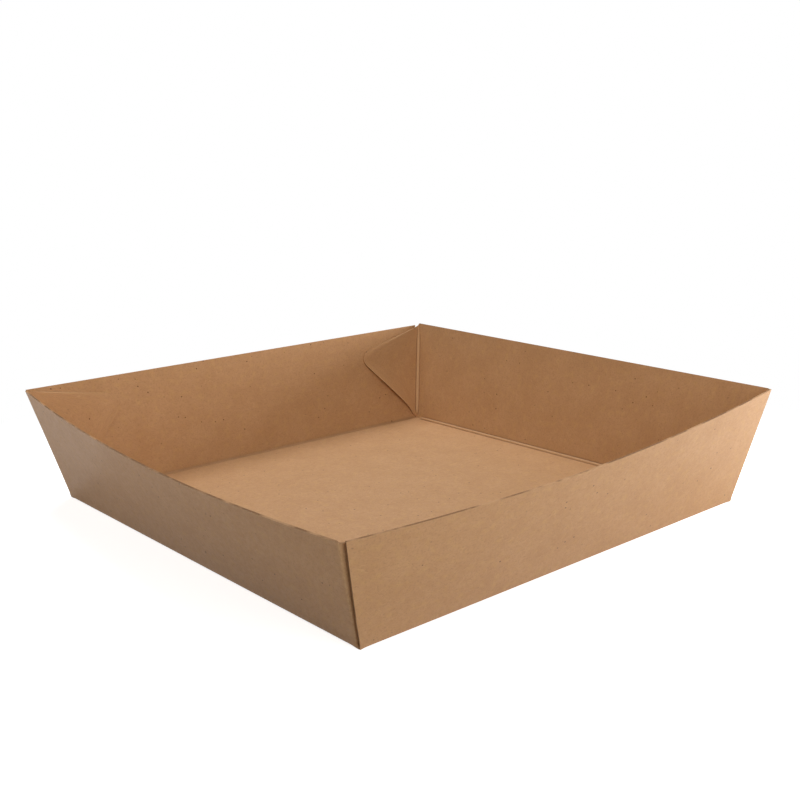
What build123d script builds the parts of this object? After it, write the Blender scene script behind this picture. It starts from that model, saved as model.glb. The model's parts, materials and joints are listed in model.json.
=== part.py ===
from build123d import *
import os
from math import atan2, cos, degrees, radians, sqrt, tan

# Square paperboard tray folded from one die-cut sheet. Millimetres, +Z up.
# The base's underside lies on z = 0, and the origin is under the middle of the base.

# Overall sizes
base_length = 200.0        # base along X, over the outside of the creases
base_width = 200.0         # base along Y
wall_height = 47.0         # rim corners above the table
rim_flare = 13.5           # how far each wall leans out from base to rim
wall_bow = 3.5             # how much further the middle of a rim leans out than its ends
board = 0.6                # thickness of the sheet

# Folds
crease_radius = 1.2        # outside radius of the four base creases
fold_radius = 0.9          # outside radius where a wall turns the corner into its tab
bead_radius = 0.7          # raised bead that a pressed crease leaves on the inside

# Corner tabs: each belongs to a wall across the X axis, turns the corner inward
# and is glued flat to the inside of the neighbouring wall
tab_reach = 33.0           # from the base corner to the sharp tip, along the wall
tab_tip_rise = 40.0        # height of that tip up the slope of the wall
tab_heel_reach = 2.8       # where the lower edge turns from steep to diagonal
tab_heel_rise = 8.2
tab_toe_rise = 1.4         # the tab starts this far above the base
tab_tip_radius = 6.0
rim_notch = 0.7            # the tab starts this far below the rim

# Seam: the raw end of the other pair of walls stops short of the corner
seam_setback = 1.9

lean = atan2(rim_flare, wall_height)
layer = board / cos(lean)                     # the sheet's thickness measured level
slope_length = sqrt(wall_height ** 2 + rim_flare ** 2)
rim_half_x = base_length / 2 + rim_flare
rim_half_y = base_width / 2 + rim_flare
rim_dip = wall_height - sqrt(slope_length ** 2 - (rim_flare + wall_bow) ** 2)
spare = 25.0                                  # overrun of cutting shapes


def bow_circle(half_chord):
    return (half_chord ** 2 + wall_bow ** 2) / (2 * wall_bow)


def bowed(half_chord, at):
    r = bow_circle(half_chord)
    return wall_bow - (r - sqrt(r ** 2 - at ** 2))


def channel(half_run, half_gap_base, half_gap_rim, chord):
    # a trough along X whose two long sides lean out and bow towards the rim
    ends = half_run
    low = Wire.make_polygon([
        (-ends, -half_gap_base, 0), (ends, -half_gap_base, 0),
        (ends, half_gap_base, 0), (-ends, half_gap_base, 0)], close=True)
    far = half_gap_rim + bowed(chord, ends)
    mid = half_gap_rim + wall_bow
    top = Wire([
        Edge.make_three_point_arc((-ends, -far, wall_height), (0, -mid, wall_height), (ends, -far, wall_height)),
        Edge.make_line((ends, -far, wall_height), (ends, far, wall_height)),
        Edge.make_three_point_arc((ends, far, wall_height), (0, mid, wall_height), (-ends, far, wall_height)),
        Edge.make_line((-ends, far, wall_height), (-ends, -far, wall_height))])
    return Solid.make_loft([low, top], ruled=True)


def sides_y(layers):
    inset = layers * layer
    return channel(rim_half_x + spare, base_width / 2 - inset, rim_half_y - inset, rim_half_x)


def sides_x(layers):
    inset = layers * layer
    return channel(rim_half_y + spare, base_length / 2 - inset, rim_half_x - inset, rim_half_y).rotate(Axis.Z, 90)


# The outside of the folded sheet, with rounded base creases
outside = (Part() + sides_x(0)) & (Part() + sides_y(0))
base_edges = [e for e in outside.edges() if abs(e.center().Z) < 0.01]
outside = fillet(base_edges, crease_radius)

# The space inside it, above the base
above_base = Pos(0, 0, board + wall_height) * Box(3 * rim_half_x, 3 * rim_half_y, 2 * wall_height)
inside = (Part() + sides_x(1)) & (Part() + sides_y(1)) & above_base
sheet = outside - inside

# Corner tabs, one layer further in, drawn as seen along Y
def tab_point(along, up_slope):
    return (-base_length / 2 + along, up_slope * cos(lean))


corner_lean = rim_flare / wall_height
heel = tab_point(tab_heel_reach, tab_heel_rise)
tip = tab_point(tab_reach, tab_tip_rise)
toe = (-base_length / 2 - corner_lean * tab_toe_rise, tab_toe_rise)
top = (-base_length / 2 - corner_lean * (wall_height - rim_notch), wall_height - rim_notch)
outline = Plane.XZ * make_face(Polyline(
    (toe[0] - 2, toe[1]), toe, heel, tip, top, (top[0] - 2, top[1]), close=True))
tip_corner = outline.vertices().sort_by(Axis.X)[-1]
outline = fillet(tip_corner, tab_tip_radius)
tab_prism = extrude(outline, amount=rim_half_y + spare, both=True)
tabs = (inside & tab_prism) - (Part() + sides_y(2))
tabs = tabs + mirror(tabs, about=Plane.YZ)

# Beads along the inside of the base creases and of the corner folds
floor_x = base_length / 2 - layer + board * tan(lean)
floor_y = base_width / 2 - layer + board * tan(lean)
rim_x = rim_half_x - layer
rim_y = rim_half_y - 2 * layer


def bead(start, finish):
    run = Vector(*finish) - Vector(*start)
    place = Plane(origin=start, z_dir=run)
    return place * Cylinder(bead_radius, run.length, align=(Align.CENTER, Align.CENTER, Align.MIN))


past = 0.3
beads = Part()
for sx in (-1, 1):
    beads += bead((sx * floor_x, -floor_y - past, board), (sx * floor_x, floor_y + past, board))
for sy in (-1, 1):
    beads += bead((-floor_x - past, sy * floor_y, board), (floor_x + past, sy * floor_y, board))
for sx in (-1, 1):
    for sy in (-1, 1):
        low_y = base_width / 2 - 2 * layer + board * tan(lean)
        beads += bead((sx * floor_x, sy * low_y, board), (sx * rim_x, sy * rim_y, wall_height - 1.5 * rim_notch))
beads = beads & outside

tray = sheet + tabs + beads


# The seam at each corner: a slot one layer deep between the rounded fold and the raw end
def seam_slot():
    x0 = -base_length / 2
    y0 = -base_width / 2
    inner = y0 + layer
    turn = fold_radius * (1 - sqrt(0.5))
    profile = make_face([
        Edge.make_line((x0 - 1.5, y0 - 1.5), (x0 + seam_setback, y0 - 1.5)),
        Edge.make_line((x0 + seam_setback, y0 - 1.5), (x0 + seam_setback, inner)),
        Edge.make_line((x0 + seam_setback, inner), (x0 + fold_radius, inner)),
        Edge.make_three_point_arc((x0 + fold_radius, inner), (x0 + turn, inner + turn), (x0, inner + fold_radius)),
        Edge.make_line((x0, inner + fold_radius), (x0 - 1.5, inner + fold_radius)),
        Edge.make_line((x0 - 1.5, inner + fold_radius), (x0 - 1.5, y0 - 1.5))])
    along = Vector(-rim_flare, -rim_flare, wall_height)
    up = Solid.extrude(profile.faces()[0], along * 1.05)
    return (Part() + up) & (Pos(0, 0, board + wall_height) * Box(4 * rim_half_x, 4 * rim_half_y, 2 * wall_height))


slot = seam_slot()
slots = slot + mirror(slot, about=Plane.YZ)
slots = slots + mirror(slots, about=Plane.XZ)
tray = tray - slots

# The rim dips towards the middle of each wall, because the bowed wall leans out further there
def dip_cutter(half_chord, reach_from, reach_to):
    rise = 6.0
    shape = Plane.XZ * make_face([
        Edge.make_three_point_arc((-half_chord, wall_height), (0, wall_height - rim_dip), (half_chord, wall_height)),
        Edge.make_line((half_chord, wall_height), (half_chord, wall_height + rise)),
        Edge.make_line((half_chord, wall_height + rise), (-half_chord, wall_height + rise)),
        Edge.make_line((-half_chord, wall_height + rise), (-half_chord, wall_height))])
    block = extrude(shape, amount=reach_to - reach_from)
    return Pos(0, -reach_from, 0) * block


cut_y = dip_cutter(rim_half_x, rim_half_y - 6, rim_half_y + spare)
cut_x = dip_cutter(rim_half_y, rim_half_x - 6, rim_half_x + spare)
for cutter in (cut_y, mirror(cut_y, about=Plane.XZ)):
    tray = tray - cutter
for turn in (90, -90):
    tray = tray - Rot(0, 0, turn) * cut_x

solids = tray.solids()
box = tray.bounding_box()
print("solids", len(solids), "volume", round(tray.volume, 1), "valid", tray.is_valid, "size", box.size)
if len(solids) != 1:
    raise ValueError("the folded sheet must be one solid")
tray_sheet = solids[0]
os.makedirs("parts", exist_ok=True)
export_step(tray_sheet, "parts/tray_sheet.step")
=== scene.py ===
import bpy
import bmesh
import json
from math import cos, exp, pi, radians, sin, sqrt
from mathutils import Matrix, Vector, noise

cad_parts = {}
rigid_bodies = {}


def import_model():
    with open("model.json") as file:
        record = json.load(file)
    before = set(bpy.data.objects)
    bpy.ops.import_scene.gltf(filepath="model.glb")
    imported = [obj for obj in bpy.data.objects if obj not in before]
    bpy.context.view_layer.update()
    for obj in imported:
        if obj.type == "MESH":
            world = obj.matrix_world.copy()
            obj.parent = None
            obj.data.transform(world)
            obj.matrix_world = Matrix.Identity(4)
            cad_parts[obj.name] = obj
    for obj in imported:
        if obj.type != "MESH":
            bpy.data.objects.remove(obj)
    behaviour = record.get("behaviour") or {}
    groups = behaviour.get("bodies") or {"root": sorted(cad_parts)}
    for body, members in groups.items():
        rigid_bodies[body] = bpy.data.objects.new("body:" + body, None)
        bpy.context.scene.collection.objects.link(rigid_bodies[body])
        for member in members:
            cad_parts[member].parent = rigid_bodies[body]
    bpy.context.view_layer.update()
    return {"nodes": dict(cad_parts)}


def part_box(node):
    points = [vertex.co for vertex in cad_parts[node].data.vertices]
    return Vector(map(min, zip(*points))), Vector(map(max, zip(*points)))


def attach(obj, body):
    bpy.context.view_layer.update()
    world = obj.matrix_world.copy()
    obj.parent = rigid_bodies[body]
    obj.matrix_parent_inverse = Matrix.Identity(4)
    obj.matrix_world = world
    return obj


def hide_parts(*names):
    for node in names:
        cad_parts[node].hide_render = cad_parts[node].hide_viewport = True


for old in list(bpy.data.objects):
    bpy.data.objects.remove(old)
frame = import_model()
sheetLow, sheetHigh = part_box("tray_sheet")
mm = 0.001
floorLevel = sheetLow.z
print("frame loaded:", *frame["nodes"], [round(v / mm, 1) for v in (sheetHigh - sheetLow)], "mm")

# The tray is one die-cut blank, worked out here in millimetres: a base, four walls that lean out, and four
# tabs. A hand-glued tray is never quite square, so each corner has a small shift of its own.
tray = {
    "base": 200.0,            # side of the base, over the creases
    "rise": 47.2,             # height of a rim corner
    "flare": 13.6,            # lean of each wall at its ends
    "board": 0.6,             # thickness of the kraft board
    "glueGap": 0.05,          # a wall stands off the tab glued behind it
    "bow": {"left": 6.3, "front": 6.6, "right": 0.6, "back": 0.4},    # bulge at the middle of each rim
    "rimShift": {"left": (1.9, 0.5, 0.6), "front": (-4.85, -3.1, -2.8),
                 "right": (-0.7, 4.3, 0.9), "back": (2.4, -1.0, 0.8)},
    "footShift": {"left": (-0.9, 0.75, 0), "front": (0.2, -0.2, 0),
                  "right": (0.65, -0.55, 0), "back": (-1.6, -4.4, 0)},
    # a wall cut a little taller at its first or last end
    "tallerEnds": {"left": (0, 0), "front": (0, 0), "right": (0, 0.8), "back": (0, 0)},
    "cockle": {
        "height": 0.10,           # slow unevenness of the board
        "span": (38, 52),         # size of its swells, each way of the blank
        "seed": 3.7,
        "freeAbove": 3.0,         # above this height the board may swell both ways
        "atFloor": 0.3,           # share of the unevenness left in the base
    },
    "fold": {
        "reach": 2.3,             # a fold takes up this much of the board on each side of its line
        "endReach": 0.35,         # and this much at the base's corners, where the folds are tight
        "easeOver": 3.5,          # distance from a corner over which the fold widens
        "tightness": 3.4,         # 1 is a wide round, more is a sharper fold
        # a pressed crease stands up inside as a bead, most where it crosses the grain: its radius
        "bead": {"left": 0.95, "front": 0.45, "right": 0.95, "back": 0.35, "corner": 1.25},
        "beadFoot": 0.1875,       # the flat share of a fold on each side of its bead
        "beadFrom": 2.0,          # a base bead starts this far from a corner
        "beadFullOver": 2.5,      # and is full this much further on
        "beadRimFade": 5,         # how fast a corner bead fades out towards the rim
        "beadFootFade": 12,       # and towards the base
        "beadAtFoot": 0.3,        # its share left there
        "scuffFade": 2.6,         # how fast the scuff on a fold's crown fades to its sides
        "footShadeWidth": 0.09,       # share of a fold over which the painted shade beside a bead fades
        "crownHighlightFrom": 0.35,         # beads over this radius get a painted highlight on top
        "crownHighlightGain": 2.6,
        "rimDrop": 0.9,           # the board dips this far where a wall's top edge turns into its tab
        "dipPower": 8,            # how late up the corner that dip starts
        # raw ends of the front and back walls: distance from the corner at the base and at the rim
        "seam": {"front": (0.4, 1.7), "right": (0.5, 0.9), "back": (0.5, 2.7), "left": (0.4, 0.7)},
        "seamPower": 1.4,
        # a corner folded short of its line, and the distance over which its tab comes back to the wall
        "earlyTurn": {"front": 0.8, "right": 0.0, "back": 0.1, "left": 0.0},
        "earlyFade": 14,
    },
    "tab": {
        "toe": 0.4,               # along the wall, where the free edge leaves the fold
        "heel": (5.4, 8.1),       # along the wall from the corner, up the slope
        "tip": (42.8, 40.4),      # where the straight edges would meet
        "tipRound": 13.0,         # how far from that point the rounding starts
        "heelRound": 3.0,
        "legEnds": (0.10, 0.15, 0.42, 0.68, 1.0),     # share of the rows at which each leg of the edge ends
        "glueFrom": 0.5,          # share of the rows below which the tab isn't glued
        "glueFullOver": 0.2,
        "lift": {"back": 1.9, "left": 0.25, "front": 0.35, "right": 0.45},     # of that free edge
        "liftPower": 3,
        "liftSwell": 1.5,
        "pressedFrom": 0.9,       # share across the tab at which its glued edge starts to thin
        "thinnest": 0.3,          # share of the board left at that edge
        "shadedEdgeBelow": -0.2,       # a tab's cut edge shows brown where its normal looks down more than this, as painted shade under the tab; above that it takes the board's colour, as if lit
        "flatReach": 40,          # a tab's length on the flat blank
        "flatTurn": 0.06,         # the share of that length in the corner fold
    },
    "net": {
        "acrossPanel": 72, "upWall": 46, "acrossTab": 22, "overFold": 16,      # faces
        "endColumns": (0.0022, 0.0048, 0.0082, 0.0125, 0.019),     # closer columns by the corners
        "evenFrom": 0.028,
        "tabStart": (0.0, 0.012, 0.03, 0.06),                      # closer columns beside the corner fold
        "weld": 0.004, "sliver": 0.002,
    },
}
cockle, fold, tab, net = (tray[group] for group in ("cockle", "fold", "tab", "net"))


def lerp(a, b, t):
    return a + (b - a) * t


def clamp(t):
    return min(max(t, 0), 1)


def smooth(t):
    return t * t * (3 - 2 * t)


def spread(n):
    return [i / n for i in range(n + 1)]


half = tray["base"] / 2
outer = half + tray["flare"]
reach = fold["reach"]
# foot and rim of each corner; each wall runs from one corner to the next, anticlockwise from above
corners = {name: (Vector((sx * half, sy * half, 0)),
                  Vector((sx * outer, sy * outer, tray["rise"])) + Vector(tray["rimShift"][name]))
           for name, sx, sy in (("left", -1, 1), ("front", -1, -1), ("right", 1, -1), ("back", 1, 1))}
walls = {"left": ("left", "front", Vector((-1, 0, 0))), "front": ("front", "right", Vector((0, -1, 0))),
         "right": ("right", "back", Vector((1, 0, 0))), "back": ("back", "left", Vector((0, 1, 0)))}


def wallRun(name, q):
    # the line from corner to corner at the fraction q of the wall's height
    (foot0, rim0), (foot1, rim1) = (corners[corner] for corner in walls[name][:2])
    return lerp(foot0, rim0, q), lerp(foot1, rim1, q)


def wallSlope(name, s):
    # length of the wall up its slope, at s from 0 to 1 along it
    first, last, out = walls[name]
    slopes = [sqrt((rim - foot).dot(out) ** 2 + rim.z ** 2) + extra
              for (foot, rim), extra in zip((corners[first], corners[last]), tray["tallerEnds"][name])]
    return lerp(slopes[0], slopes[1], s)


def wallPoint(name, s, v, skin=0.0):
    # v is the distance up the slope, and skin is the distance in from the wall's outside
    out = walls[name][2]
    slope = wallSlope(name, s)
    foot, rim = (lerp(*wallRun(name, q), s) for q in (0, 1))
    lean = (rim - foot).dot(out) + tray["bow"][name] * 4 * s * (1 - s)
    rim = foot + (rim - foot) - out * (rim - foot).dot(out) + out * lean
    rim.z = sqrt(max(slope ** 2 - lean ** 2, 0))
    return lerp(foot, rim, v / slope) - out * skin * slope / rim.z


def along(name, distance, v, fromEnd=False):
    # s of a point at this distance from the wall's first or last corner line
    start, end = wallRun(name, clamp(v / wallSlope(name, 0)))
    s = distance / (end - start).length
    return 1 - s if fromEnd else s


def rounded(a, corner, b, t, tightness=1.0):
    # a curve from a to b that leaves and arrives along the lines to the corner
    first, turn, last = (1 - t) ** 2, 2 * tightness * t * (1 - t), t ** 2
    return (a * first + corner * turn + b * last) / (first + turn + last)


def beadInside(a, corner, b, t, radius):
    # the inside of a fold: flat, then up over a round bead in the corner, then flat again
    toA, toB = (a - corner).normalized(), (b - corner).normalized()
    opening = toA.angle(toB)
    setBack = tray["board"] / sin(opening)
    inner = corner + (toA + toB) * setBack
    foot = fold["beadFoot"]
    for flank, end, share in ((toA, a, t), (toB, b, 1 - t)):
        if share < foot:
            flat = (end - corner).length - setBack * (1 + cos(opening))
            return lerp(inner + flank * flat, inner + flank * radius, share / foot)
    sweep = (t - foot) / (1 - 2 * foot)
    return inner + (toA * sin((1 - sweep) * opening) + toB * sin(sweep * opening)) / sin(opening) * radius


def crownAt(t):
    # the crown of a fold's outside gets scuffed
    return max(1 - abs(t - 0.5) * fold["scuffFade"], 0)


def paintedBeadShadingAt(t, radius):
    # on the inside, the bead's crown gets a painted highlight, above 0, and its feet get painted shade, below
    # 0
    foot = fold["beadFoot"]
    if t < foot or t > 1 - foot:
        return -exp(-(min(abs(t - foot), abs(t - 1 + foot)) / fold["footShadeWidth"]) ** 2) * radius
    sweep = (t - foot) / (1 - 2 * foot)
    return sin(pi * sweep) ** 0.5 * max(radius - fold["crownHighlightFrom"], 0) * fold["crownHighlightGain"] - radius


def reachAt(s):
    # the base folds are wide along a wall and tight at its ends
    return lerp(fold["endReach"], reach, smooth(clamp(min(s, 1 - s) * tray["base"] / fold["easeOver"])))


def turnInset(corner):
    # where the end of a left or right wall starts to turn into its tab
    return tray["board"] + tray["glueGap"] + fold["earlyTurn"][corner] + reach


def wallSpan(name, v):
    # the s values at which a wall's faces start and end, at height v
    first, last = walls[name][:2]
    if name in ("left", "right"):          # these turn into the tabs, and the others end raw
        return along(name, turnInset(first), v), along(name, turnInset(last), v, True)
    climb = min(v / wallSlope(name, 0), 1) ** fold["seamPower"]
    start, end = (lerp(*fold["seam"][corner], climb) for corner in (first, last))
    return along(name, start, v), along(name, end, v, True)


def flatPlace(name, s, v):
    # where a point of a wall lies on the unfolded blank
    first, last, out = walls[name]
    p = lerp(corners[first][0], corners[last][0], s) + out * v
    return p.x, p.y


def wallPlace(name, s, r):
    a, b = wallSpan(name, lerp(reach, wallSlope(name, s), r))
    across = lerp(a, b, s)
    return wallPoint(name, across, lerp(reach, wallSlope(name, across), r))


def foldLines(name, s):
    # the two edges of the fold between base and wall, and the sharp line between them
    first, last, out = walls[name]
    p0, p1 = corners[first][0], corners[last][0]
    tight = (p1 - p0).normalized() * fold["endReach"]
    low = lerp(p0 + tight, p1 - tight, s) - out * reachAt(s)
    high = wallPoint(name, lerp(*wallSpan(name, reach), s), reach)
    edge = lerp(low, high, 0.5)
    middle = Vector((edge.x, edge.y, 0)) - out * (edge - p0).dot(out)
    return low, middle, high


def foldPlace(name, s, t):
    return rounded(*foldLines(name, s), t, fold["tightness"])


def foldInside(name, s, t):
    inward = clamp((min(s, 1 - s) * tray["base"] - fold["beadFrom"]) / fold["beadFullOver"])
    radius = fold["bead"][name]
    return beadInside(*foldLines(name, s), t, radius), inward, crownAt(t), paintedBeadShadingAt(t, radius) * inward


def basePlace(a, b):
    wide, deep = half - reachAt(b), half - reachAt(a)
    return Vector((lerp(-wide, wide, a), lerp(-deep, deep, b), 0))


def tabOutline(r, height):
    # the free edge of a tab, from its toe at the foot of the fold, round the tip, to the rim corner
    toe, heel, tip, top = (Vector(p) for p in ((tab["toe"], reach), tab["heel"], tab["tip"], (0.0, height)))
    heelIn = heel + (toe - heel).normalized() * tab["heelRound"]
    heelOut = heel + (tip - heel).normalized() * tab["heelRound"]
    tipIn = tip + (heel - tip).normalized() * tab["tipRound"]
    tipOut = tip + (top - tip).normalized() * tab["tipRound"]
    legs = (lambda t: lerp(toe, heelIn, t), lambda t: rounded(heelIn, heel, heelOut, t),
            lambda t: lerp(heelOut, tipIn, t), lambda t: rounded(tipIn, tip, tipOut, t),
            lambda t: lerp(tipOut, top, t))
    start = 0.0
    for end, leg in zip(tab["legEnds"], legs):
        if r <= end:
            return leg((r - start) / (end - start))
        start = end
    return top


def tabPoint(wall, atStart, distance, v, lift=0.0):
    # a point on the inside of the wall that the tab is glued to
    corner = walls[wall][0 if atStart else 1]
    early = fold["earlyTurn"][corner] * max(1 - distance / fold["earlyFade"], 0) ** 2
    skin = tray["board"] + tray["glueGap"] + lift + early
    return wallPoint(wall, along(wall, distance, v, not atStart), v, skin)


# The sheet starts as one skin, its outside, with what each point needs later kept in layers.
bm = bmesh.new()
flatU, flatV, scuff, paintedBeadShading, shaped = (bm.verts.layers.float.new(name)
                                       for name in ("flatU", "flatV", "scuff", "paintedBeadShading", "shaped"))
shift = bm.verts.layers.float_vector.new("shift")
facing = bm.verts.layers.float_vector.new("facing")
ends = list(net["endColumns"])
even = [lerp(net["evenFrom"], 1 - net["evenFrom"], t) for t in spread(net["acrossPanel"])]
columns = [0.0] + ends + even + [1 - e for e in reversed(ends)] + [1.0]
tabSteps = list(net["tabStart"]) + [lerp(net["tabStart"][-1], 1, t) for t in spread(net["acrossTab"])[1:]]
foldSteps = spread(net["overFold"])
rowSteps = spread(net["upWall"])


def gridOf(columns, rows, place, flat, inner=None, normal=None):
    # a grid of faces, each point put where place says and remembered where it lies on the flat blank
    # inner gives a point's fellow on the inside of a fold, and how far that counts against plain thickness
    made = bmesh.ops.create_grid(bm, x_segments=len(columns) - 1, y_segments=len(rows) - 1, size=1)["verts"]
    for vert in made:
        i = round((vert.co.x + 1) / 2 * (len(columns) - 1))
        j = round((vert.co.y + 1) / 2 * (len(rows) - 1))
        vert.co = place(columns[i], rows[j])
        vert[flatU], vert[flatV] = flat(columns[i], rows[j])
        if normal:
            vert[facing] = normal(columns[i], rows[j])
        if inner:
            fellow, weight, crown, beadShadingValue = inner(columns[i], rows[j])
            vert[shift], vert[shaped], vert[scuff], vert[paintedBeadShading] = fellow - vert.co, weight, crown, beadShadingValue


def foldCorner(owner, ownerStart, host):
    # the end of the owner wall turns in behind the host wall and is glued there as a tab
    corner = walls[owner][0 if ownerStart else 1]
    hostStart = walls[host][0] == corner
    ownerEnd, hostEnd = (0.0 if atStart else 1.0 for atStart in (ownerStart, hostStart))
    sideOut = walls[host][2]
    hostShare = wallSlope(host, hostEnd) / wallSlope(owner, ownerEnd)
    hostNormal = (sideOut * tray["rise"] - Vector((0, 0, tray["flare"]))).normalized()

    def heightAt(r):
        return lerp(reach, wallSlope(owner, ownerEnd), r)

    def turnLines(r, t=0.0):
        dip = fold["rimDrop"] * smooth(t) * r ** fold["dipPower"]
        v = heightAt(r) - dip
        inset = turnInset(corner)
        s = along(owner, inset, v, not ownerStart)
        begin = wallPoint(owner, s, lerp(reach, wallSlope(owner, s), r) - dip)
        turn = wallPoint(owner, along(owner, inset - reach, v, not ownerStart), v)
        finish = tabPoint(host, hostStart, reach, v * hostShare)
        return begin, turn, finish

    def turnPlace(t, r):
        return rounded(*turnLines(r, t), t, fold["tightness"])

    def turnInside(t, r):
        # the bead fades out just under the rim and just over the base
        weight = clamp((1 - r) * fold["beadRimFade"]) * min(r * fold["beadFootFade"] + fold["beadAtFoot"], 1)
        radius = fold["bead"]["corner"]
        return beadInside(*turnLines(r, t), t, radius), weight, crownAt(t), paintedBeadShadingAt(t, radius) * weight

    def gussetPlace(t, k):
        # the little web at the foot of the turn, where the two folds meet on the base's corner
        turn, finish = turnLines(0)[1:]
        apex = foldPlace(owner, ownerEnd, 0)
        side = foldPlace(owner, ownerEnd, k)
        return rounded(side, lerp(apex, turn, k), lerp(apex, finish, k), t, fold["tightness"])

    def tabPlace(t, r):
        v = (heightAt(r) - fold["rimDrop"] * r ** fold["dipPower"]) * hostShare
        free = tabOutline(r, heightAt(1) - fold["rimDrop"])
        free.y *= hostShare
        p = lerp(Vector((reach, v)), free + Vector((reach, 0)), t)
        lift = 0.0
        if r < tab["glueFrom"]:
            swell = sin(pi * r / tab["glueFrom"]) ** tab["liftSwell"]
            lift = tab["lift"][corner] * t ** tab["liftPower"] * swell
        return tabPoint(host, hostStart, p.x, p.y, lift)

    def tabFlat(t, r):
        u, w = flatPlace(owner, ownerEnd, heightAt(r))
        return u, w + sideOut.y * t * tab["flatReach"]

    def tabDepth(t, r):
        # glued down hard along its top edge, so the board is pressed thin there
        edge = clamp((t - tab["pressedFrom"]) / (1 - tab["pressedFrom"]))
        glued = clamp((r - tab["glueFrom"]) / tab["glueFullOver"])
        return hostNormal * lerp(1, tab["thinnest"], edge * glued)

    turn = tab["flatTurn"]
    gridOf(tabSteps, rowSteps, tabPlace, lambda t, r: tabFlat(turn + t, r), normal=tabDepth)
    gridOf(foldSteps, rowSteps, turnPlace, lambda t, r: tabFlat(t * turn, r), turnInside)
    gridOf(foldSteps, foldSteps, gussetPlace, lambda t, k: tabFlat(t * turn, 0))


gridOf(columns, columns, basePlace, lambda a, b: (lerp(-half, half, a), lerp(-half, half, b)))
for name in walls:
    gridOf(columns, foldSteps, lambda s, t: foldPlace(name, s, t),
           lambda s, t: flatPlace(name, s, lerp(-reach, reach, t)), lambda s, t: foldInside(name, s, t))
for name in walls:
    gridOf(columns, rowSteps, lambda s, r: wallPlace(name, s, r),
           lambda s, r: flatPlace(name, s, lerp(reach, wallSlope(name, s), r)))
for owner, ownerStart, host in (("left", True, "back"), ("left", False, "front"),
                                ("right", True, "front"), ("right", False, "back")):
    foldCorner(owner, ownerStart, host)
bmesh.ops.remove_doubles(bm, verts=bm.verts, dist=net["weld"])
bmesh.ops.dissolve_degenerate(bm, edges=bm.edges, dist=net["sliver"])
print("flat panels folded and joined:", len(bm.faces), "faces")

bmesh.ops.recalc_face_normals(bm, faces=bm.faces)
middle = min(bm.faces, key=lambda f: f.calc_center_median().length)
if middle.normal.z > 0:
    bmesh.ops.reverse_faces(bm, faces=bm.faces)
bm.normal_update()


def footDrift(p):
    # the base's corners sit a little off square too, and the walls follow them less the higher they are
    a, b = clamp(p.x / tray["base"] + 0.5), clamp(p.y / tray["base"] + 0.5)
    left, front, right, back = (Vector(tray["footShift"][n]) for n in ("left", "front", "right", "back"))
    return lerp(lerp(front, right, a), lerp(left, back, a), b) * max(1 - p.z / tray["rise"], 0)


# slow unevenness of the board, never below the table
spanU, spanV = cockle["span"]
for vert in bm.verts:
    wave = noise.noise(Vector((vert[flatU] / spanU, vert[flatV] / spanV, cockle["seed"]))) * cockle["height"]
    if vert.co.z <= cockle["freeAbove"]:
        wave = min(wave, 0) * max(vert.co.z / cockle["freeAbove"], cockle["atFloor"])
    vert.co += footDrift(vert.co) + vert.normal * wave


def onTab(vert):
    return vert[facing].length > 0.1          # a tab's points have a facing of 0.3 or more, and the others 0


# thickness: the copied skin moves in by one board, and over the beads in the folds
inside = bm.verts.layers.int.new("inside")
for vert in bm.verts:
    plain = (vert[facing] if onTab(vert) else vert.normal) * -tray["board"]
    vert[shift] = plain.lerp(vert[shift], vert[shaped])
copied = bmesh.ops.extrude_face_region(bm, geom=bm.faces[:], use_keep_orig=True)["geom"]
for vert in [g for g in copied if isinstance(g, bmesh.types.BMVert)]:
    vert[inside] = 1
    vert.co += vert[shift]
    vert[scuff] = 0
# the painted highlight and painted shade of the beads go only on the inside skin
for vert in bm.verts:
    vert[paintedBeadShading] *= vert[inside]
bmesh.ops.recalc_face_normals(bm, faces=bm.faces)

# the cut edges join the two skins and show brown pulp; on a tab, the edges that face down stay brown as
# painted shade under it, and those that face up, such as the upper edge pressed thin, take the board's colour
# as painted light
cutFaces = {f for f in bm.faces if 0 < sum(v[inside] for v in f.verts) < len(f.verts)}
for face in bm.faces:
    face.smooth = True
for face in cutFaces:
    paintedLitTabEdge = all(onTab(v) for v in face.verts) and face.normal.z > tab["shadedEdgeBelow"]
    face.material_index = 0 if paintedLitTabEdge else 1
    for edge in face.edges:
        if sum(f in cutFaces for f in edge.link_faces) == 1:
            edge.smooth = False

# where each face lies on the flat blank, in metres
flatMap = bm.loops.layers.uv.new("flatBlank")
for face in bm.faces:
    for loop in face.loops:
        loop[flatMap].uv = (loop.vert[flatU] * mm, loop.vert[flatV] * mm)
bmesh.ops.scale(bm, vec=(mm, mm, mm), verts=bm.verts)
bmesh.ops.translate(bm, vec=(0, 0, floorLevel), verts=bm.verts)

mesh = bpy.data.meshes.new("kraftTray")
bm.to_mesh(mesh)
bm.free()
kraftTray = bpy.data.objects.new("kraftTray", mesh)
bpy.context.collection.objects.link(kraftTray)
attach(kraftTray, "root")
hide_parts("tray_sheet")
print("kraft tray:", len(mesh.polygons), "faces")


def linear(hexColour):
    channels = [int(hexColour[i:i + 2], 16) / 255 for i in (1, 3, 5)]
    return tuple(c / 12.92 if c <= 0.04045 else ((c + 0.055) / 1.055) ** 2.4 for c in channels) + (1.0,)


def perMm(size):
    # a texture's scale for a pattern of this size in millimetres
    return 1 / (size * mm)


def addNode(tree, kind, settings=None, links=None):
    # a key is a socket's name or number, or else one of the node's own settings
    node = tree.nodes.new(kind)
    for key, value in (settings or {}).items():
        if isinstance(key, int) or key in node.inputs:
            node.inputs[key].default_value = value
        else:
            setattr(node, key, value)
    for key, socket in (links or {}).items():
        tree.links.new(socket, node.inputs[key])
    return node


def newMaterial(name):
    material = bpy.data.materials.new(name)
    material.use_nodes = True
    material.node_tree.nodes.clear()
    return material, material.node_tree


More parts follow.
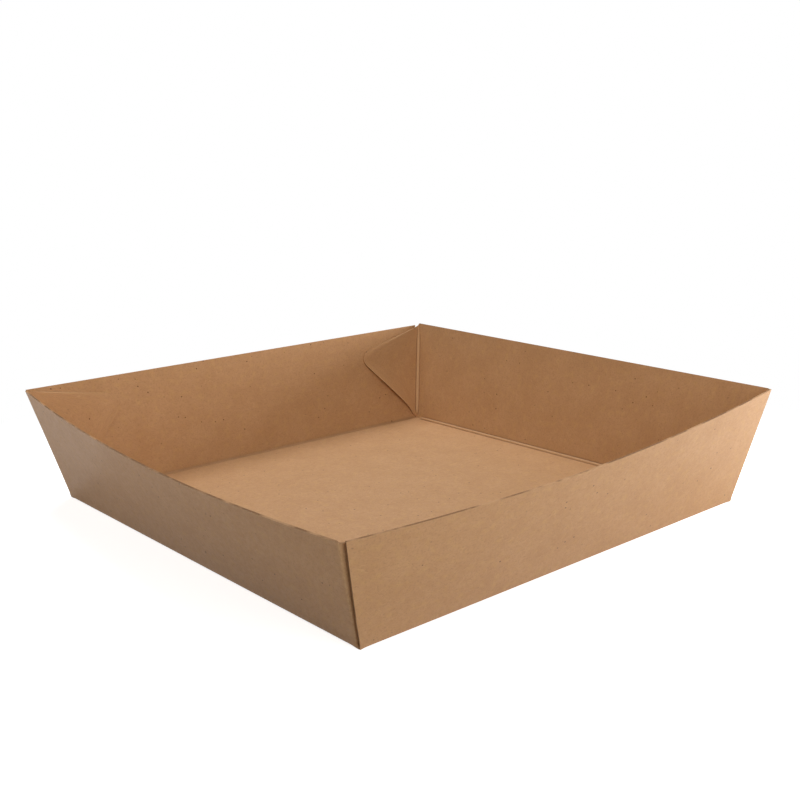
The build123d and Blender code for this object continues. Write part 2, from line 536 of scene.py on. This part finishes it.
kraft = {
    "pale": "#CC9E71", "deep": "#BD8E60",       # the pulp, from cloud to cloud
    "fibre": "#D9AF7F", "straw": "#CFA268", "speck": "#6E4A2E",
    "wearAndCrownHighlight": "#D8AF81", "paintedFootShade": "#7E5A3C",    # on the folds: worn pale on the outside or painted highlight on a bead's crown, and painted shade at its feet
    "clouds": 14.0,           # mm across the soft clouds of the pulp
    "flocks": 1.9,            # mm across the small clumps of fibres
    "strawPatches": 3.2,      # mm across the yellower patches
    "grit": 0.8,              # mm across the finest mottling that shows
    "fibreLength": 3.2, "fibreWidth": 0.5,      # real fibres are 0.03 mm wide, too fine to show
    "curl": 11.0, "curlSpacing": 4.5,           # mm that the fibres wander, and over what distance
    "speckSpacing": 3.6, "speckSize": 0.42,     # mm between bits of bark, and their radius
    "roughOutside": (0.42, 0.54), "roughInside": (0.56, 0.68),
    "tooth": 0.02,            # mm of relief in the surface
}


def makeKraftBoard():
    # Unbleached kraft board: brown wood pulp pressed flat on rollers, the grain along one side of the blank.
    # To the eye it is a matt tan with soft clouds, fine pale fibres and dark specks of bark, and the smooth
    # outside picks up a broad sheen at a low angle. Folded edges wear pale.
    # The beads inside the folds carry a painted highlight on their crowns and painted shade at their feet.
    material, tree = newMaterial("unbleachedKraftBoard")
    blank = addNode(tree, "ShaderNodeUVMap", {"uv_map": "flatBlank"}).outputs["UV"]
    noises = {}
    for size, detail, rough, bent in (("clouds", 4.0, 0.55, 0.0), ("flocks", 3.0, 0.65, 0.6),
                                      ("strawPatches", 2.0, 0.6, 0.0), ("grit", 2.0, 0.7, 0.0)):
        settings = {"Scale": perMm(kraft[size]), "Detail": detail, "Roughness": rough, "Distortion": bent}
        noises[size] = addNode(tree, "ShaderNodeTexNoise", settings, {"Vector": blank}).outputs["Fac"]
    flocks = noises["flocks"]

    # the fibres: noise drawn out along the grain, on a blank that wanders a little
    wander = addNode(tree, "ShaderNodeTexNoise", {"Scale": perMm(kraft["curlSpacing"]), "Detail": 1.0},
                     {"Vector": blank})
    bend = addNode(tree, "ShaderNodeVectorMath", {"operation": "SCALE", "Scale": kraft["curl"] * mm},
                   {"Vector": wander.outputs["Color"]})
    curled = addNode(tree, "ShaderNodeVectorMath", {"operation": "ADD"},
                     {0: blank, 1: bend.outputs["Vector"]})
    stretch = (perMm(kraft["fibreLength"]), perMm(kraft["fibreWidth"]), 1)
    grain = addNode(tree, "ShaderNodeMapping", {"Scale": stretch}, {"Vector": curled.outputs["Vector"]})
    fibres = addNode(tree, "ShaderNodeTexNoise", {"Scale": 1.0, "Detail": 2.0, "Roughness": 0.5},
                     {"Vector": grain.outputs["Vector"]}).outputs["Fac"]

    # the specks: some of the cells of a Voronoi texture, near their middles
    specks = addNode(tree, "ShaderNodeTexVoronoi", {"Scale": perMm(kraft["speckSpacing"]), "Randomness": 1.0},
                     {"Vector": blank})
    speckPick = addNode(tree, "ShaderNodeSeparateColor", links={"Color": specks.outputs["Color"]})
    speckRadius = kraft["speckSize"] / kraft["speckSpacing"]
    scuffed, beadShadingAttribute, isInside = (addNode(tree, "ShaderNodeAttribute", {"attribute_name": name}).outputs["Fac"]
                                 for name in ("scuff", "paintedBeadShading", "inside"))

    # each share runs from its least to its most as its value runs from low to high
    shares = {}
    for name, value, low, high, least, most in (
            ("cloudy", noises["clouds"], 0.3, 0.7, 0.2, 0.8),
            ("flocky", flocks, 0.42, 0.72, 0.0, 0.6),
            ("strawy", noises["strawPatches"], 0.5, 0.75, 0.0, 0.5),
            ("gritty", noises["grit"], 0.5, 0.8, 0.0, 0.32),
            ("fibrous", fibres, 0.58, 0.85, 0.0, 0.55),
            ("nearSpeck", specks.outputs["Distance"], speckRadius, speckRadius * 0.5, 0.0, 1.0),
            ("pickedSpeck", speckPick.outputs["Red"], 0.55, 0.8, 0.0, 1.0),
            ("patchy", flocks, 0.35, 0.6, 0.0, 1.0),
            # painted highlight on a bead's crown and painted shade at its feet
            ("paintedCrownHighlight", beadShadingAttribute, 0.0, 1.0, 0.0, 0.6),
            ("paintedFootShade", beadShadingAttribute, 0.0, -1.0, 0.0, 0.85),
            ("roughOutside", flocks, 0.3, 0.7, *kraft["roughOutside"]),
            ("roughInside", flocks, 0.3, 0.7, *kraft["roughInside"])):
        span = {"From Min": low, "From Max": high, "To Min": least, "To Max": most}
        shares[name] = addNode(tree, "ShaderNodeMapRange", span, {"Value": value}).outputs["Result"]
    for name, a, b in (("speck", shares["nearSpeck"], shares["pickedSpeck"]),
                       ("rubbed", scuffed, shares["patchy"])):
        both = addNode(tree, "ShaderNodeMath", {"operation": "MULTIPLY"}, {0: a, 1: b})
        shares[name] = both.outputs["Value"]

    # colours laid over the pale pulp, one after another
    under = {}
    for share, colour in (("cloudy", "deep"), ("flocky", "deep"), ("strawy", "straw"), ("gritty", "speck"),
                          ("fibrous", "fibre"), ("speck", "speck"), ("rubbed", "wearAndCrownHighlight"), ("paintedCrownHighlight", "wearAndCrownHighlight"),
                          ("paintedFootShade", "paintedFootShade")):
        hues = {"data_type": "RGBA", 6: linear(kraft["pale"]), 7: linear(kraft[colour])}
        laid = addNode(tree, "ShaderNodeMix", hues, {"Factor": shares[share], **under}).outputs[2]
        under = {6: laid}

    relief = addNode(tree, "ShaderNodeMath", {"operation": "ADD"}, {0: fibres, 1: flocks})
    tooth = addNode(tree, "ShaderNodeBump", {"Strength": 1.0, "Distance": kraft["tooth"] * mm},
                    {"Height": relief.outputs["Value"]})
    roughness = addNode(tree, "ShaderNodeMix", {"data_type": "FLOAT"},
                        {"Factor": isInside, 2: shares["roughOutside"], 3: shares["roughInside"]})
    shader = addNode(tree, "ShaderNodeBsdfPrincipled",
                     {"IOR": 1.5, "Specular IOR Level": 0.25, "Sheen Weight": 0.05, "Sheen Roughness": 0.5},
                     {"Base Color": laid, "Roughness": roughness.outputs[0],
                      "Normal": tooth.outputs["Normal"]})
    addNode(tree, "ShaderNodeOutputMaterial", links={"Surface": shader.outputs["BSDF"]})
    return material


cutEdge = {"dark": "#84603E", "pale": "#B98F66", "dashes": 9.0, "roughness": 0.9}      # dashes in mm


def makeCutEdge():
    # Die-cut edge of the same board: pulp torn by a steel rule, a thin rough brown line with paler stretches.
    material, tree = newMaterial("dieCutBoardEdge")
    blank = addNode(tree, "ShaderNodeUVMap", {"uv_map": "flatBlank"})
    dashes = addNode(tree, "ShaderNodeTexNoise",
                     {"Scale": perMm(cutEdge["dashes"]), "Detail": 2.0, "Roughness": 0.6},
                     {"Vector": blank.outputs["UV"]})
    paler = addNode(tree, "ShaderNodeMapRange", {"From Min": 0.46, "From Max": 0.62},
                    {"Value": dashes.outputs["Fac"]})
    colour = addNode(tree, "ShaderNodeMix",
                     {"data_type": "RGBA", 6: linear(cutEdge["dark"]), 7: linear(cutEdge["pale"])},
                     {"Factor": paler.outputs["Result"]})
    shader = addNode(tree, "ShaderNodeBsdfPrincipled", {"Roughness": cutEdge["roughness"]},
                     {"Base Color": colour.outputs[2]})
    addNode(tree, "ShaderNodeOutputMaterial", links={"Surface": shader.outputs["BSDF"]})
    return material


mesh.materials.append(makeKraftBoard())
mesh.materials.append(makeCutEdge())
print("kraft board and cut edge finished")

studio = {
    "floorSize": 6.0,         # m
    "floorGap": 0.05,         # mm that the paper lies under the tray, so the two never share a plane
    "paper": "#F3F3F3",
    "bounce": "#ADAAA6",      # the paper as the tray sees it
    "paperGlow": 0.78,        # what a white sweep adds to its own brightness
    "glossGlow": 0.4,         # the same in glossy rays, less because the tray shades the floor it mirrors
    "shadowReach": (0.16, 0.26),      # m from the middle, over which the shadow fades out
    "white": "#FFFFFF", "sky": 0.1,
}


def seenDirectly(tree):
    # 1 where a camera, glossy or transmission ray looks, which meets the white of the studio
    path = addNode(tree, "ShaderNodeLightPath")
    share = path.outputs["Is Camera Ray"]
    for other in ("Is Glossy Ray", "Is Transmission Ray"):
        either = addNode(tree, "ShaderNodeMath", {"operation": "MAXIMUM"}, {0: share, 1: path.outputs[other]})
        share = either.outputs["Value"]
    return share


def makePaperSweep():
    # Matt white background paper: a soft shadow under the tray, and plain white further out.
    material, tree = newMaterial("whiteBackgroundPaper")
    path = addNode(tree, "ShaderNodeLightPath")
    strength = addNode(tree, "ShaderNodeMapRange",
                       {"To Min": studio["glossGlow"], "To Max": studio["paperGlow"]},
                       {"Value": path.outputs["Is Camera Ray"]})
    glow = addNode(tree, "ShaderNodeEmission", links={"Strength": strength.outputs["Result"]})
    lit = addNode(tree, "ShaderNodeBsdfDiffuse", {"Color": linear(studio["paper"])})
    nearTray = addNode(tree, "ShaderNodeAddShader", links={0: lit.outputs[0], 1: glow.outputs[0]})
    white = addNode(tree, "ShaderNodeEmission", {"Strength": 1.0})
    place = addNode(tree, "ShaderNodeTexCoord")
    away = addNode(tree, "ShaderNodeVectorMath", {"operation": "LENGTH"}, {"Vector": place.outputs["Object"]})
    far = addNode(tree, "ShaderNodeMapRange",
                  {"From Min": studio["shadowReach"][0], "From Max": studio["shadowReach"][1]},
                  {"Value": away.outputs["Value"]})
    seen = addNode(tree, "ShaderNodeMixShader",
                   links={0: far.outputs["Result"], 1: nearTray.outputs[0], 2: white.outputs[0]})
    bounce = addNode(tree, "ShaderNodeBsdfDiffuse", {"Color": linear(studio["bounce"])})
    surface = addNode(tree, "ShaderNodeMixShader",
                      links={0: seenDirectly(tree), 1: bounce.outputs[0], 2: seen.outputs[0]})
    addNode(tree, "ShaderNodeOutputMaterial", links={"Surface": surface.outputs[0]})
    return material


bm = bmesh.new()
bmesh.ops.create_grid(bm, x_segments=1, y_segments=1, size=studio["floorSize"] / 2)
bmesh.ops.translate(bm, vec=(0, 0, floorLevel - studio["floorGap"] * mm), verts=bm.verts)
floorMesh = bpy.data.meshes.new("studioFloor")
bm.to_mesh(floorMesh)
bm.free()
floorMesh.materials.append(makePaperSweep())
studioFloor = bpy.data.objects.new("studioFloor", floorMesh)
bpy.context.collection.objects.link(studioFloor)

# the world lights the tray faintly, and looks white
world = bpy.data.worlds.new("studioWorld")
bpy.context.scene.world = world
world.use_nodes = True
tree = world.node_tree
tree.nodes.clear()
sky, whiteSky = (addNode(tree, "ShaderNodeBackground",
                         {"Color": linear(studio["white"]), "Strength": strength})
                 for strength in (studio["sky"], 1.0))
both = addNode(tree, "ShaderNodeMixShader",
               links={0: seenDirectly(tree), 1: sky.outputs[0], 2: whiteSky.outputs[0]})
addNode(tree, "ShaderNodeOutputWorld", links={"Surface": both.outputs[0]})

# disk lamps: place, what they face and diameter in mm, and power in watts
lamps = {
    "keyFromAbove": ((200, 400, 800), (0, 0, 0), 600, 5.5),
    "lowFromRight": ((420, -260, 60), (110, -110, 30), 200, 2.2),
    "fillFromFront": ((-60, -420, 200), (-60, -100, 20), 300, 0.72),
    "fillFromLeft": ((-500, 60, 200), (0, 0, 20), 300, 0.46),
}
for name, (spot, aim, size, power) in lamps.items():
    lampData = bpy.data.lights.new(name, "AREA")
    lampData.shape = "DISK"
    lampData.size = size * mm
    lampData.energy = power
    lamp = bpy.data.objects.new(name, lampData)
    spot, aim = Vector(spot) * mm, Vector(aim) * mm
    lamp.matrix_world = Matrix.Translation(spot) @ (aim - spot).to_track_quat("-Z", "Y").to_matrix().to_4x4()
    bpy.context.collection.objects.link(lamp)
print("floor laid and", len(lamps), "lamps set")

camera = {
    "azimuth": 40.784, "elevation": 13.780, "roll": -0.972,      # degrees
    "distance": 544.19, "lookAt": (56.56, 60.46, 23.59),         # mm
    "lens": 49.05, "sensor": 36, "clipStart": 0.01,
}
azimuth, elevation, roll = (radians(camera[k]) for k in ("azimuth", "elevation", "roll"))
forward = Vector((sin(azimuth) * cos(elevation), cos(azimuth) * cos(elevation), -sin(elevation)))
level = Vector((cos(azimuth), -sin(azimuth), 0))
upward = level.cross(forward)
sideways = level * cos(roll) + upward * sin(roll)
top = upward * cos(roll) - level * sin(roll)
spot = (Vector(camera["lookAt"]) - forward * camera["distance"]) * mm
cameraData = bpy.data.cameras.new("studioCamera")
cameraData.lens = camera["lens"]
cameraData.sensor_width = camera["sensor"]
cameraData.clip_start = camera["clipStart"]
studioCamera = bpy.data.objects.new("studioCamera", cameraData)
turn = Matrix((sideways, top, -forward)).transposed().to_4x4()
studioCamera.matrix_world = Matrix.Translation(spot) @ turn
bpy.context.collection.objects.link(studioCamera)
bpy.context.scene.camera = studioCamera
bpy.context.scene.view_settings.view_transform = "Standard"
print("camera set")
